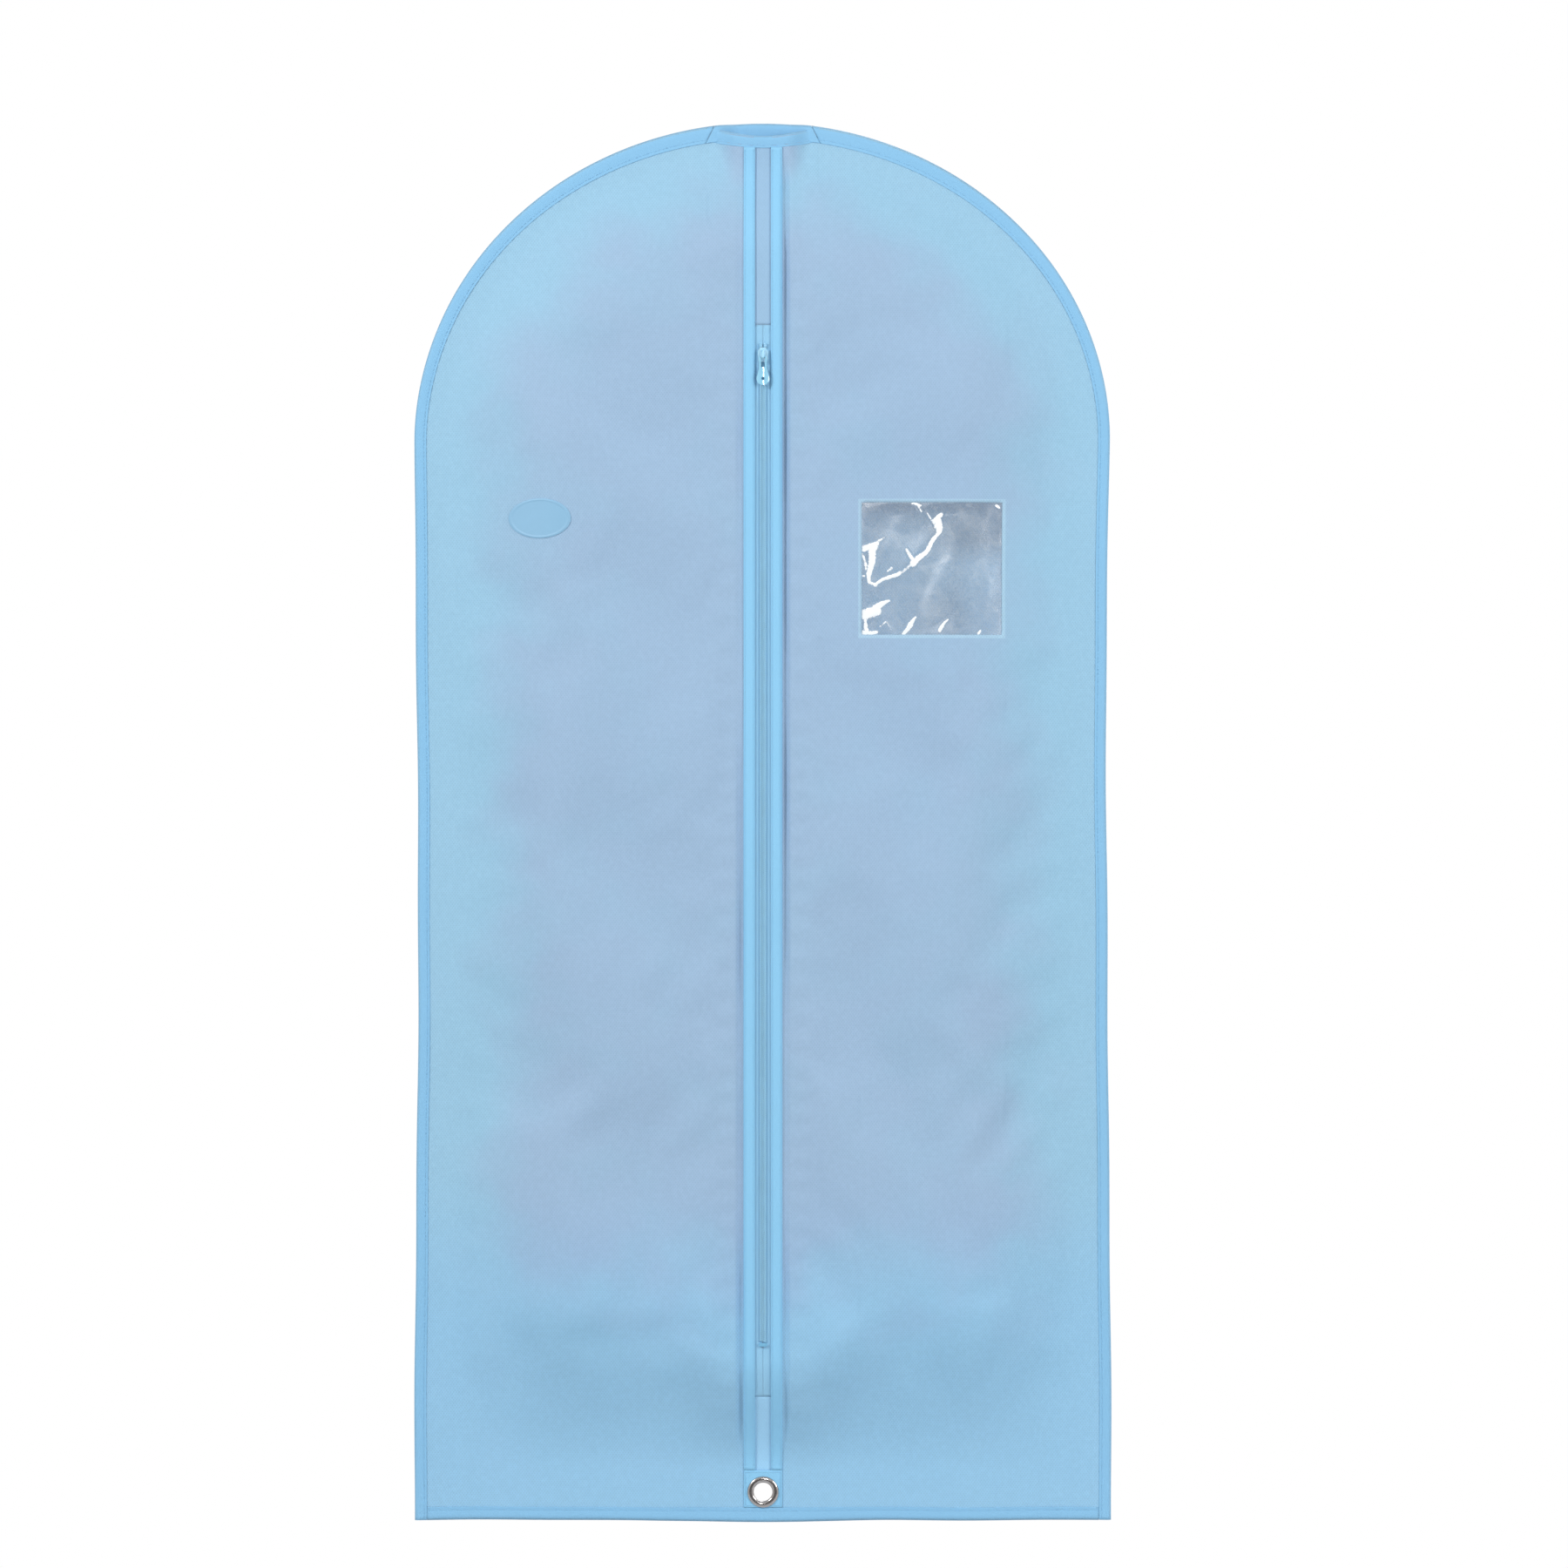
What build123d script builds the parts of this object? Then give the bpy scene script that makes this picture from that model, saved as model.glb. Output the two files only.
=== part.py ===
"""Hanging garment bag for a suit or coat, as long as a jacket and closed by a zip down its front.

The bag is sewn from a back panel and two front panels of thin nonwoven fabric. Folded binding tape
closes its rim, and leaves an opening at the crown for a hanger's hook. Two facings cover the front
panels' inner edges and hold the zip, with a plain insert above the zip and another below it. A clear
window is set into the right front panel, a blank label is sewn on the left one, and an eyelet at the hem
goes over the hook when the bag is folded in half.

Frame: millimetres, +Z up, the front faces -Y. The origin is the middle of the hanger opening, at the top
of the crown, in the plane where the front and back panels meet at the rim.
"""

from build123d import *
from math import acos, degrees
import os

# Outline
half_width = 299.0
height = 1200.0
arch_height = 275.0

# Shape of the hanging bag, filled to its own depth
front_bulge = 35.0
back_bulge = 25.0
rim_flat = 16.0
rim_run = 110.0
hem_flat = 44.0
hem_run = 96.0
bulge_steps = ((0.0, 0.0), (0.22, 0.12), (0.78, 0.88), (1.0, 1.0))

# Hanger opening
neck_half = 41.5
neck_front = 12.0
neck_back = 10.0
neck_flat_half = 20.0
neck_reach = 20.0
neck_depth = 70.0
neck_end_z = -6.0
neck_dip_z = -12.6
neck_slant = 7.5
neck_gap = 3.0

# Fabric layers, each with its near face and its thickness, measured from the sheet's own surface
fabric = 0.6
gap = 0.1
tape_thick = 0.4
film_thick = 0.3
tape_level = -0.55
panel_level = tape_level - gap - fabric
cover_level = panel_level - gap - fabric
lining_level = -0.05
back_level = 0.15
back_cover_level = back_level + fabric + gap

# Binding
side_binding = 10.0
crown_binding = 14.0
hem_binding = 11.0
neck_binding = 10.0
panel_inset = fabric + 0.15

# Placket
placket_half = 16.5
facing_inner = 6.8
panel_inner = 8.0
tape_outer = 15.5
tape_inner = 0.8
tape_top = -176.0
tape_bottom = -1092.0

# Zip chain
coil_outer = 3.0
coil_inner = 0.35
coil_thick = 2.05
coil_top = -195.2
coil_bottom = -1045.0
stop_length = 3.0
stop_gap = 0.2

# Slider and its pull
slider_top = -195.7
slider_length = 12.0
slider_half = 4.6
slider_foot_half = 3.9
plate_thick = 1.1
flange_thick = 1.3
post_thick = 0.5
crown_half = 1.1
crown_rise = 3.2
crown_wall = 0.9
pull_bar_radius = 0.65
pull_length = 24.0
pull_window = 8.6
pull_half = 3.3
pull_foot_half = 5.6
pull_dome = 0.5
pull_round = 14.0

# Window and label
window_x, window_z = 145.0, -384.0
window_width, window_height = 121.0, 113.0
window_lap = 8.0
label_x, label_z = -191.0, -341.0
label_width, label_height = 54.0, 34.0
label_thick = 0.5

# Eyelet
eyelet_z = -1176.0
eyelet_bore = 8.0
eyelet_wall = 0.6
eyelet_flange = 13.5
flange_plate = 0.7
eyelet_hole = eyelet_bore + eyelet_wall + 0.15
patch_top = -1157.5

# Half the depth of a space that the whole bag fits in
across_bag = 80.0


def on_front(sketch):
    """Stands a flat outline up in the XZ plane."""
    return Plane.XZ * sketch


def span(x0, x1, z0, z1):
    """A rectangle between two x and two z."""
    return Pos((x0 + x1) / 2, (z0 + z1) / 2) * Rectangle(x1 - x0, z1 - z0)


def area(*points):
    """A face with straight edges through its corners, given as (x, z)."""
    return make_face(Polyline(*points, close=True))


def outline(side, crown, hem):
    """The bag's outline, drawn in by its own amount at the sides, at the crown and at the hem."""
    arch = Pos(0, -arch_height) * Ellipse(half_width - side, arch_height - crown)
    skirt = span(side - half_width, half_width - side, hem - height, -arch_height)
    return arch + skirt


def through(cut, near=-across_bag, far=across_bag):
    """A flat outline, extruded from one y to another."""
    return Pos(0, far, 0) * extrude(on_front(cut), amount=far - near)


def bulge_contour(share):
    """The bag's outline drawn in by a share of the run, with a straight top across the placket."""
    inset = rim_flat + rim_run * share
    wide = half_width - inset
    tall = arch_height - inset * arch_height / half_width
    foot = hem_flat + hem_run * share - height
    turn = degrees(acos(neck_flat_half / wide))
    right = EllipticalCenterArc((0, -arch_height), wide, tall, start_angle=0, arc_size=turn)
    left = EllipticalCenterArc((0, -arch_height), wide, tall, start_angle=180 - turn, arc_size=turn)
    skirt = Polyline(left @ 1, (-wide, foot), (wide, foot), right @ 0)
    return make_face([right, Line(right @ 1, left @ 0), left, skirt])


def filled_side(depth, lift):
    """Everything behind the bag's front surface, with its bulge and the lift at the opening."""
    behind = through(span(-half_width - 20, half_width + 20, -height - 20, 20), 0, across_bag)
    contours = [Pos(0, -depth * level, 0) * on_front(bulge_contour(share)) for share, level in bulge_steps]
    edge = neck_flat_half + neck_reach
    ridge = Polyline((-edge, 0), (-neck_flat_half, -lift), (neck_flat_half, -lift), (edge, 0), close=True)
    raised = Pos(0, 0, -neck_depth) * extrude(make_face(ridge), amount=neck_depth + 20, dir=(0, 0, 1))
    return behind + loft(contours, ruled=True) + raised


front_side = filled_side(front_bulge, neck_front)
back_side = mirror(filled_side(back_bulge, neck_back), about=Plane.XZ)


def front_layer(level, thickness, cut):
    """A layer of fabric that follows the front surface at a level, cut to a flat outline."""
    skin = Pos(0, level, 0) * front_side - Pos(0, level + thickness, 0) * front_side
    return through(cut) & skin


def back_layer(level, thickness, cut):
    """A layer of fabric that follows the back surface at a level, cut to a flat outline."""
    skin = Pos(0, level + thickness, 0) * back_side - Pos(0, level, 0) * back_side
    return through(cut) & skin


def neck_arc(lower, spread):
    """The dipped line of the front neck edge, lowered, and wider at its ends by spread."""
    return ThreePointArc(
        (-neck_half - spread, neck_end_z - lower),
        (0, neck_dip_z - lower),
        (neck_half + spread, neck_end_z - lower),
    )


def above_neck(lower):
    """Everything above the front neck edge, lowered, between the ends of the opening."""
    arc = neck_arc(lower, 1.0)
    return make_face([arc, Polyline(arc @ 1, ((arc @ 1).X, 5), ((arc @ 0).X, 5), arc @ 0)])


def neck_zone(margin):
    """The crown between the slanted ends of the neck bindings, wider by margin at each end."""
    top, foot = neck_half + margin, neck_half + neck_slant + margin
    low = neck_end_z - neck_binding
    return area((-top, 4), (top, 4), (top, neck_end_z), (foot, low), (foot, -30), (-foot, -30),
                (-foot, low), (-top, neck_end_z))


def eyelet_cut():
    """The hole that the eyelet's barrel goes through."""
    return Pos(0, eyelet_z) * Circle(eyelet_hole)


# Panels ---------------------------------------------------------------------------------------------


def front_panel(side):
    """One front panel, from the rim to its edge under the facing; side is -1 for left, 1 for right."""
    half = span(*sorted((side * panel_inner, side * half_width)), -height, 0)
    cut = (outline(panel_inset, panel_inset, panel_inset) & half) - above_neck(panel_inset) - eyelet_cut()
    if side > 0:
        cut -= window_opening()
    return front_layer(panel_level, fabric, cut)


def back_panel():
    cut = outline(panel_inset, panel_inset, panel_inset) - eyelet_cut()
    return back_layer(back_level, fabric, cut)


# Binding --------------------------------------------------------------------------------------------


def rim_ring():
    """The strip along the rim that the binding covers."""
    return outline(0, 0, 0) - outline(side_binding, crown_binding, hem_binding)


def folded(strip, fold):
    """Binding tape over the rim: a front leaf, a back leaf and the fold between them."""
    front = through(strip, cover_level, cover_level + fabric)
    back = through(strip, back_cover_level, back_cover_level + fabric)
    return front + back + through(strip & fold, cover_level, back_cover_level + fabric)


def side_binding_tape(side):
    """The tape from the opening, round the shoulder and down to the corner of the hem."""
    hem_strip = span(side_binding - half_width, half_width - side_binding, -height, hem_binding - height)
    half = span(*sorted((side * neck_flat_half, side * half_width)), -height, 0)
    strip = (rim_ring() & half) - hem_strip - neck_zone(0.3)
    return folded(strip, outline(0, 0, 0) - outline(fabric, fabric, 0))


def hem_binding_tape():
    reach = half_width - side_binding - gap
    strip = span(-reach, reach, -height, hem_binding - height)
    return folded(strip, span(-reach, reach, -height, fabric - height))


def neck_binding_front():
    """The tape over the front neck edge, with slanted ends that stop just short of the side bindings."""
    top, foot = neck_arc(0, -neck_gap), neck_arc(neck_binding, neck_slant - neck_gap)
    strip = make_face([top, Line(top @ 1, foot @ 1), foot, Line(foot @ 0, top @ 0)])
    return folded_neck(front_layer, strip, strip & above_neck(fabric), cover_level, lining_level)


def neck_binding_back():
    """The tape over the back neck edge, which keeps to the line of the crown."""
    strip = rim_ring() & neck_zone(0)
    fold = strip - outline(0, fabric, 0)
    return folded_neck(back_layer, strip, fold, back_cover_level, back_level - gap - fabric)


def folded_neck(layer, strip, fold, outer_level, inner_level):
    """Binding tape over one neck edge: the outer leaf is full width, the inner one stops short."""
    inside = span(-neck_half + 8, neck_half - 8, -40, 5)
    low, high = min(outer_level, inner_level), max(outer_level, inner_level)
    outer = layer(outer_level, fabric, strip)
    inner = layer(inner_level, fabric, strip & inside)
    return outer + inner + layer(low, high + fabric - low, fold & inside)


# Placket --------------------------------------------------------------------------------------------


def placket_strip(x0, x1, z0, z1, level, thickness):
    """A strip down the placket, kept below the front neck binding."""
    return front_layer(level, thickness, span(*sorted((x0, x1)), z0, z1) - above_neck_binding())


def above_neck_binding():
    """Everything above the lower edge of the front neck binding."""
    arc = neck_arc(neck_binding + gap, neck_slant)
    return make_face([arc, Polyline(arc @ 1, ((arc @ 1).X, 5), ((arc @ 0).X, 5), arc @ 0)])


def placket_facing(side):
    return placket_strip(side * facing_inner, side * placket_half, patch_top + gap, 0, cover_level, fabric)


def upper_insert():
    """Fabric between the facings from the neck to the zip tape, held in the neck binding."""
    cut = span(-tape_outer, tape_outer, tape_top + gap, 0) - above_neck(panel_inset)
    return front_layer(tape_level, tape_thick, cut)


def lower_insert():
    """Fabric between the facings from the zip tape to the hem, pierced by the eyelet."""
    cut = span(-tape_outer, tape_outer, panel_inset - height, tape_bottom - gap) - eyelet_cut()
    return front_layer(tape_level, tape_thick, cut)


def eyelet_patch():
    """The square of doubled fabric that the eyelet is set in."""
    cut = span(-placket_half, placket_half, hem_binding - height + gap, patch_top) - eyelet_cut()
    return front_layer(cover_level, fabric, cut)


# Zip ------------------------------------------------------------------------------------------------

chain_y = -front_bulge + tape_level
coil_near = chain_y - 0.05 - coil_thick


def zip_tape(side):
    cut = span(*sorted((side * tape_inner, side * tape_outer)), tape_bottom, tape_top)
    return front_layer(tape_level, tape_thick, cut)


def block(x0, x1, y0, y1, z0, z1):
    """A box between two corners."""
    return Pos((x0 + x1) / 2, (y0 + y1) / 2, (z0 + z1) / 2) * Box(abs(x1 - x0), abs(y1 - y0), abs(z1 - z0))


def zip_coil(side):
    """One half of the nylon coil, rounded along its outer edge."""
    back = coil_near + coil_thick
    coil = block(side * coil_inner, side * coil_outer, coil_near, back, coil_bottom, coil_top)
    outer_edges = coil.edges().filter_by(Axis.Z).sort_by(lambda e: side * e.center().X)[-2:]
    return fillet(outer_edges, 0.8)


def zip_top_stops():
    """The two crimps that end the coil above the closed slider."""
    bottom = coil_top + stop_gap
    stops = []
    for side in (-1, 1):
        stop = block(side * coil_inner, side * (coil_outer + 0.2), coil_near - 0.1, chain_y - 0.05,
                     bottom, bottom + stop_length)
        stops.append(fillet(stop.edges().filter_by(Axis.Z), 0.5))
    return Compound(stops)


def zip_bottom_stop():
    """The crimp that joins both halves of the chain at its foot."""
    reach = coil_outer + 0.5
    top = coil_bottom - stop_gap
    stop = block(-reach, reach, coil_near - 0.2, chain_y - 0.05, top - stop_length, top)
    return fillet(stop.edges().filter_by(Axis.Y), 0.8)


# Slider ---------------------------------------------------------------------------------------------

slider_bottom = slider_top - slider_length
front_plate_back = coil_near - 0.25
front_plate_front = front_plate_back - plate_thick
back_plate_front = chain_y + tape_thick + 0.3
pivot_y = front_plate_front - 0.4 - pull_bar_radius
pivot_z = slider_bottom + 4.1


def plate_outline():
    """The slider's shield outline, broad at the shoulders and narrower at the foot."""
    shield = area((-slider_half, slider_top - 3), (-2.2, slider_top), (2.2, slider_top),
                  (slider_half, slider_top - 3), (slider_foot_half, slider_bottom),
                  (-slider_foot_half, slider_bottom))
    return fillet(shield.vertices(), 0.9)


def slider_body():
    """Two plates joined by a thin post, with flanges that turn back round the coil."""
    plates = through(plate_outline(), front_plate_front, front_plate_back)
    plates += through(plate_outline(), back_plate_front, back_plate_front + plate_thick)
    plates += block(-post_thick / 2, post_thick / 2, front_plate_back, back_plate_front,
                    slider_top - 3.6, slider_top - 0.4)
    rails = plate_outline() & (span(-9, -slider_half + flange_thick, slider_bottom, slider_top)
                               + span(slider_half - flange_thick, 9, slider_bottom, slider_top))
    return plates + through(rails, front_plate_back, chain_y - 0.35)


def side_profile(*points):
    """A closed outline in the YZ plane, given as (y, z)."""
    return Plane.YZ * make_face(Polyline(*points, close=True))


def slider_crown():
    """The bridge over the front plate that the pull's bar turns in."""
    foot, head = slider_bottom + 2.0, slider_bottom + 10.4
    base, peak = front_plate_front, front_plate_front - crown_rise
    bend = 1.5
    outer = side_profile((base, foot), (peak + bend, foot), (peak, foot + bend), (peak, head - bend),
                         (peak + bend, head), (base, head))
    inner = side_profile((base, foot + crown_wall), (peak + crown_wall, foot + crown_wall),
                         (peak + crown_wall, head - crown_wall), (base, head - crown_wall))
    bridge = extrude(outer - inner, amount=crown_half, both=True)
    return fillet(bridge.edges().filter_by(Axis.Z), 0.25)


def pull_tab():
    """The pull: a bar through the crown, two arms beside it and a pear-shaped, domed grip with a hole."""
    waist = pivot_z - pull_window
    belly = pivot_z - pull_length + pull_foot_half
    arms = area((-pull_half, pivot_z), (pull_half, pivot_z), (pull_half, waist - 1),
                (pull_foot_half, belly), (-pull_foot_half, belly), (-pull_half, waist - 1))
    grip = arms + Pos(0, belly) * Circle(pull_foot_half)
    slot = span(1.6 - pull_half, pull_half - 1.6, waist, pivot_z + 1)
    hole = Pos(0, belly) * Circle(1.3)
    flat = fillet(grip.vertices().sort_by(Axis.Y)[-2:], 0.7) - slot - hole
    front = pivot_y - pull_bar_radius - pull_dome
    plate = through(flat, front, pivot_y + pull_bar_radius)
    dome = Pos(0, front + pull_round, (pivot_z + belly) / 2) * Cylinder(pull_round, 3 * pull_length)
    bar = Pos(0, pivot_y, pivot_z) * Rot(0, 90, 0) * Cylinder(pull_bar_radius, 2 * pull_half)
    return (plate & dome) + bar


# Window, label and eyelet ---------------------------------------------------------------------------


def window_opening():
    return Pos(window_x, window_z) * RectangleRounded(window_width, window_height, 2.0)


def window_film():
    """Clear film welded behind its opening, wider than it all round."""
    cut = Pos(window_x, window_z) * RectangleRounded(window_width + 2 * window_lap,
                                                     window_height + 2 * window_lap, 4.0)
    return front_layer(tape_level, film_thick, cut)


def blank_label():
    cut = Pos(label_x, label_z) * Ellipse(label_width / 2, label_height / 2)
    return front_layer(cover_level, label_thick, cut)


def ring(radius_in, radius_out, y0, y1):
    """A flat ring about the eyelet's axis."""
    flat = Pos(0, eyelet_z) * (Circle(radius_out) - Circle(radius_in))
    return through(flat, y0, y1)


eyelet_front = cover_level - gap
eyelet_back = back_level + fabric + gap


def eyelet_barrel():
    """The front half of the eyelet: a rounded flange, and a barrel whose end is rolled at the back."""
    rolled = eyelet_back + flange_plate + 0.05
    flange = ring(eyelet_bore, eyelet_flange, eyelet_front - flange_plate, eyelet_front)
    barrel = ring(eyelet_bore, eyelet_bore + eyelet_wall, eyelet_front - flange_plate, rolled + eyelet_wall)
    roll = ring(eyelet_bore, eyelet_bore + 2.2, rolled, rolled + eyelet_wall)
    circles = flange.edges().filter_by(GeomType.CIRCLE).sort_by(Axis.Y)
    outer_rim = [e for e in circles if e.radius > eyelet_flange - 1][:1]
    return fillet(outer_rim, flange_plate * 0.8) + barrel + roll


def eyelet_washer():
    """The back half of the eyelet, held by the rolled end of the barrel."""
    back = eyelet_back + flange_plate
    washer = ring(eyelet_bore + eyelet_wall + gap, eyelet_flange - 1, eyelet_back, back)
    circles = washer.edges().filter_by(GeomType.CIRCLE).sort_by(Axis.Y)
    outer_rim = [e for e in circles if e.radius > eyelet_flange - 2][-1:]
    return fillet(outer_rim, flange_plate * 0.6)


parts = {
    "back_panel": back_panel(),
    "front_panel_left": front_panel(-1),
    "front_panel_right": front_panel(1),
    "side_binding_left": side_binding_tape(-1),
    "side_binding_right": side_binding_tape(1),
    "hem_binding": hem_binding_tape(),
    "neck_binding_front": neck_binding_front(),
    "neck_binding_back": neck_binding_back(),
    "placket_facing_left": placket_facing(-1),
    "placket_facing_right": placket_facing(1),
    "placket_insert_upper": upper_insert(),
    "placket_insert_lower": lower_insert(),
    "eyelet_patch": eyelet_patch(),
    "zip_tape_left": zip_tape(-1),
    "zip_tape_right": zip_tape(1),
    "zip_coil_left": zip_coil(-1),
    "zip_coil_right": zip_coil(1),
    "zip_top_stops": zip_top_stops(),
    "zip_bottom_stop": zip_bottom_stop(),
    "slider_body": slider_body(),
    "slider_crown": slider_crown(),
    "pull_tab": pull_tab(),
    "window_film": window_film(),
    "blank_label": blank_label(),
    "eyelet_barrel": eyelet_barrel(),
    "eyelet_washer": eyelet_washer(),
}

os.makedirs("parts", exist_ok=True)
for name, shape in parts.items():
    export_step(shape, f"parts/{name}.step")
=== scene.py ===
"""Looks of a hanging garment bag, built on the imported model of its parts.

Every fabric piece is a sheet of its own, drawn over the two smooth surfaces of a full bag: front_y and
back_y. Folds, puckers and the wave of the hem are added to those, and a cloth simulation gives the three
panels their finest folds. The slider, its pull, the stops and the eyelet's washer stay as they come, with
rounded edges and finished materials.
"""

from math import pi, radians

import bpy
import numpy as np
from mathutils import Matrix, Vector


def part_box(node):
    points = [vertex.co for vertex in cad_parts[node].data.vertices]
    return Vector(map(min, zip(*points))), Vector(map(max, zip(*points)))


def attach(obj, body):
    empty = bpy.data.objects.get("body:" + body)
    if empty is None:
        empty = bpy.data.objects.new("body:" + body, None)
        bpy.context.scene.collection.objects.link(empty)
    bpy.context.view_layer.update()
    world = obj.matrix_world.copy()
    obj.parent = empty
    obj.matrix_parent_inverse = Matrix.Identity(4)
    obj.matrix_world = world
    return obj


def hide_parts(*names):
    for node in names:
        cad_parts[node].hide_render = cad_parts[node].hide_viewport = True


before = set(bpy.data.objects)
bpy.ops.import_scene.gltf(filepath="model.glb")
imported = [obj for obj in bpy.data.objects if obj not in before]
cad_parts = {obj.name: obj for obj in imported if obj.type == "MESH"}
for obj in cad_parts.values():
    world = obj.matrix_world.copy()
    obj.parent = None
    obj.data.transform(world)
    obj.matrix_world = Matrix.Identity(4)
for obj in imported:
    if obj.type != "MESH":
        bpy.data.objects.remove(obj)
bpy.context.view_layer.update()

mm = 0.001

# Sizes that come from the frame ---------------------------

half_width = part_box("side_binding_right")[1][0]
height = -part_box("hem_binding")[0][2]
arch_height = 275 * mm
front_depth = -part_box("front_panel_left")[0][1] - 1.25 * mm
back_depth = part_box("back_panel")[1][1] - 0.75 * mm
facing_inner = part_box("placket_facing_right")[0][0]
placket_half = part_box("placket_facing_right")[1][0]
panel_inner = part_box("front_panel_right")[0][0]
tape_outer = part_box("zip_tape_right")[1][0]
tape_bottom, tape_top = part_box("zip_tape_right")[0][2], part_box("zip_tape_right")[1][2]
coil_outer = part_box("zip_coil_right")[1][0]
coil_bottom, coil_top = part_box("zip_coil_right")[0][2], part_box("zip_coil_right")[1][2]
coil_front, coil_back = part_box("zip_coil_right")[0][1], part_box("zip_coil_right")[1][1]
eyelet_z = (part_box("eyelet_barrel")[0][2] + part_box("eyelet_barrel")[1][2]) / 2
patch_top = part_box("eyelet_patch")[1][2]

side_binding = 10 * mm
crown_binding = 14 * mm
hem_binding = 11 * mm
neck_binding = 10 * mm
placket_flat = 20 * mm

# The bag's flat edge at the rim and the hem, how far in the bulge takes to rise from there, and what is
# added to that away from the placket
rim_flat, rim_run, rim_aside = 16 * mm, 110 * mm, 20 * mm
hem_flat, hem_run, hem_aside = 44 * mm, 96 * mm, 50 * mm
neck_half = 41.5 * mm
neck_slant = 7.5 * mm
neck_gap = 3 * mm
neck_end_z = -6 * mm
neck_dip_z = -12.6 * mm
neck_front, neck_back = 12 * mm, 10 * mm
eyelet_bore, eyelet_hole, eyelet_rim = 8 * mm, 8.75 * mm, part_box("eyelet_barrel")[1][0]
eyelet_front, eyelet_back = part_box("eyelet_barrel")[0][1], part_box("eyelet_barrel")[1][1]

film_low, film_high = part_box("window_film")
window_lap = 8 * mm
window_low = (film_low[0] + window_lap, film_low[2] + window_lap)
window_high = (film_high[0] - window_lap, film_high[2] - window_lap)
label_low, label_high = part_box("blank_label")

# Levels of the fabric layers over the bag's surface, towards the back, at the middle of each layer
cloth = 0.4 * mm
panel_level = -0.95 * mm
tape_level = -0.35 * mm
cover_level = -1.65 * mm
back_level = 0.45 * mm
binding_rise = 1.45 * mm

# Where a binding's stitches run, as a share of its width, and their level over the rim
stitch_line = 0.78
stitch_rise = binding_rise + 0.12 * mm
both_faces = (("front", -1), ("back", 1))

# Panels end inside the edge that a binding covers; their rows follow the crown above spring_z
inset = 0.9 * mm
spring_z = -322 * mm
window_weld, weld_inner, weld_outer = 2.9 * mm, 2.6 * mm, 3.4 * mm

ring = 96
full_turn = np.arange(ring) * 2 * pi / ring


# Shape of the bag -----------------------------------------


def smooth(t):
    """Rises from 0 to 1 with no slope at either end."""
    t = np.clip(t, 0, 1)
    return t * t * (3 - 2 * t)


def hump(t):
    """1 at t = 0, falling smoothly to 0 at -1 and 1."""
    return smooth(1 - np.abs(t))


def beyond_placket(x):
    return np.maximum(0, np.abs(x) - placket_flat)


def fill(x, z):
    """Share of the full bulge: 0 along the rim and the hem, 1 over the middle of the bag."""
    spread = beyond_placket(x) / (half_width - placket_flat)
    rise = np.maximum(0, z + arch_height) / arch_height
    from_rim = (1 - np.hypot(spread, rise)) * half_width
    from_hem = z + height
    aside = smooth((np.abs(x) - 22 * mm) / (90 * mm))
    over_rim = smooth((from_rim - rim_flat) / (rim_run + rim_aside * aside))
    return over_rim * smooth((from_hem - hem_flat) / (hem_run + hem_aside * aside))


def neck_lift(x, z):
    return smooth(1 - beyond_placket(x) / (21 * mm)) * smooth(1 + z / (110 * mm))


def ripple(x, z, length, angle, phase, wander=0.6):
    """A wandering wave over the fabric; angle is the direction that it travels in, from +X."""
    along = x * np.cos(angle) + z * np.sin(angle)
    across = z * np.cos(angle) - x * np.sin(angle)
    bend = wander * np.sin(across * 2 * pi / (3.1 * length) + 1.7 * phase)
    return np.sin(along * 2 * pi / length + bend + phase)


def front_folds(x, z):
    """How far the front stands out from its smooth surface, in soft folds that fade at the seams."""
    side = np.where(x < 0, -1.0, 1.0)
    off_placket = smooth((np.abs(x) - 18 * mm) / (28 * mm))
    inside = fill(x, z)
    reach = np.hypot(x, z)
    turn = np.arctan2(np.abs(x), -z + 1 * mm)
    neck = np.sin(11 * turn + 0.9 * side) * np.exp(-((reach - 60 * mm) / (85 * mm)) ** 2)
    neck *= smooth((reach - 22 * mm) / (40 * mm)) * smooth((1.45 - turn) / 0.4)
    shoulder = ripple(x * side, z, 150 * mm, -0.95, 0.7 + side) * hump((z + 190 * mm) / (230 * mm))
    hang = ripple(x, z, 118 * mm, 0.06, 0.5 + 0.8 * side, 0.9) * smooth((-z - 260 * mm) / (300 * mm))
    fine = ripple(x, z, 47 * mm, 0.16 * side, 2.1 * side, 1.3) * smooth((-z - 520 * mm) / (300 * mm))
    slack = ripple(x, z, 210 * mm, 1.2, 0.3 * side, 1.1)
    lower = ripple(x * side, z, 95 * mm, 0.75, 1.1 + side, 0.8) * hump((z + 1080 * mm) / (150 * mm))
    out = 2.6 * neck + 1.5 * shoulder + 1.7 * hang + 0.5 * fine + 0.9 * slack + 1.0 * lower
    return out * mm * off_placket * np.maximum(inside, 0.12 * neck_lift(x, z) + 0.05)


def placket_valley(x, z):
    """The groove along the placket's edges, where the panel tucks in under its facing."""
    high, low = smooth((z + 760 * mm) / (200 * mm)), smooth((-z - 460 * mm) / (200 * mm))
    depth = np.where(x > 0, 2.4 + 2.6 * high, 1.3 + 1.8 * low)
    depth = depth + 0.6 * np.sin(z / (61 * mm)) + 0.4 * np.sin(z / (23 * mm) + 1)
    puckers = 0.35 * np.sin(z * 2 * pi / (21 * mm) + np.sin(z / (47 * mm)) * 2) * mm
    near = hump((np.abs(x) - placket_half - 2.4 * mm) / (5.6 * mm))
    wide = hump((np.abs(x) - 31 * mm) / (14 * mm))
    at_ends = smooth((z + height - 40 * mm) / (60 * mm)) * smooth((-z - 26 * mm) / (30 * mm))
    return (near * depth * mm + wide * puckers) * at_ends


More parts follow.
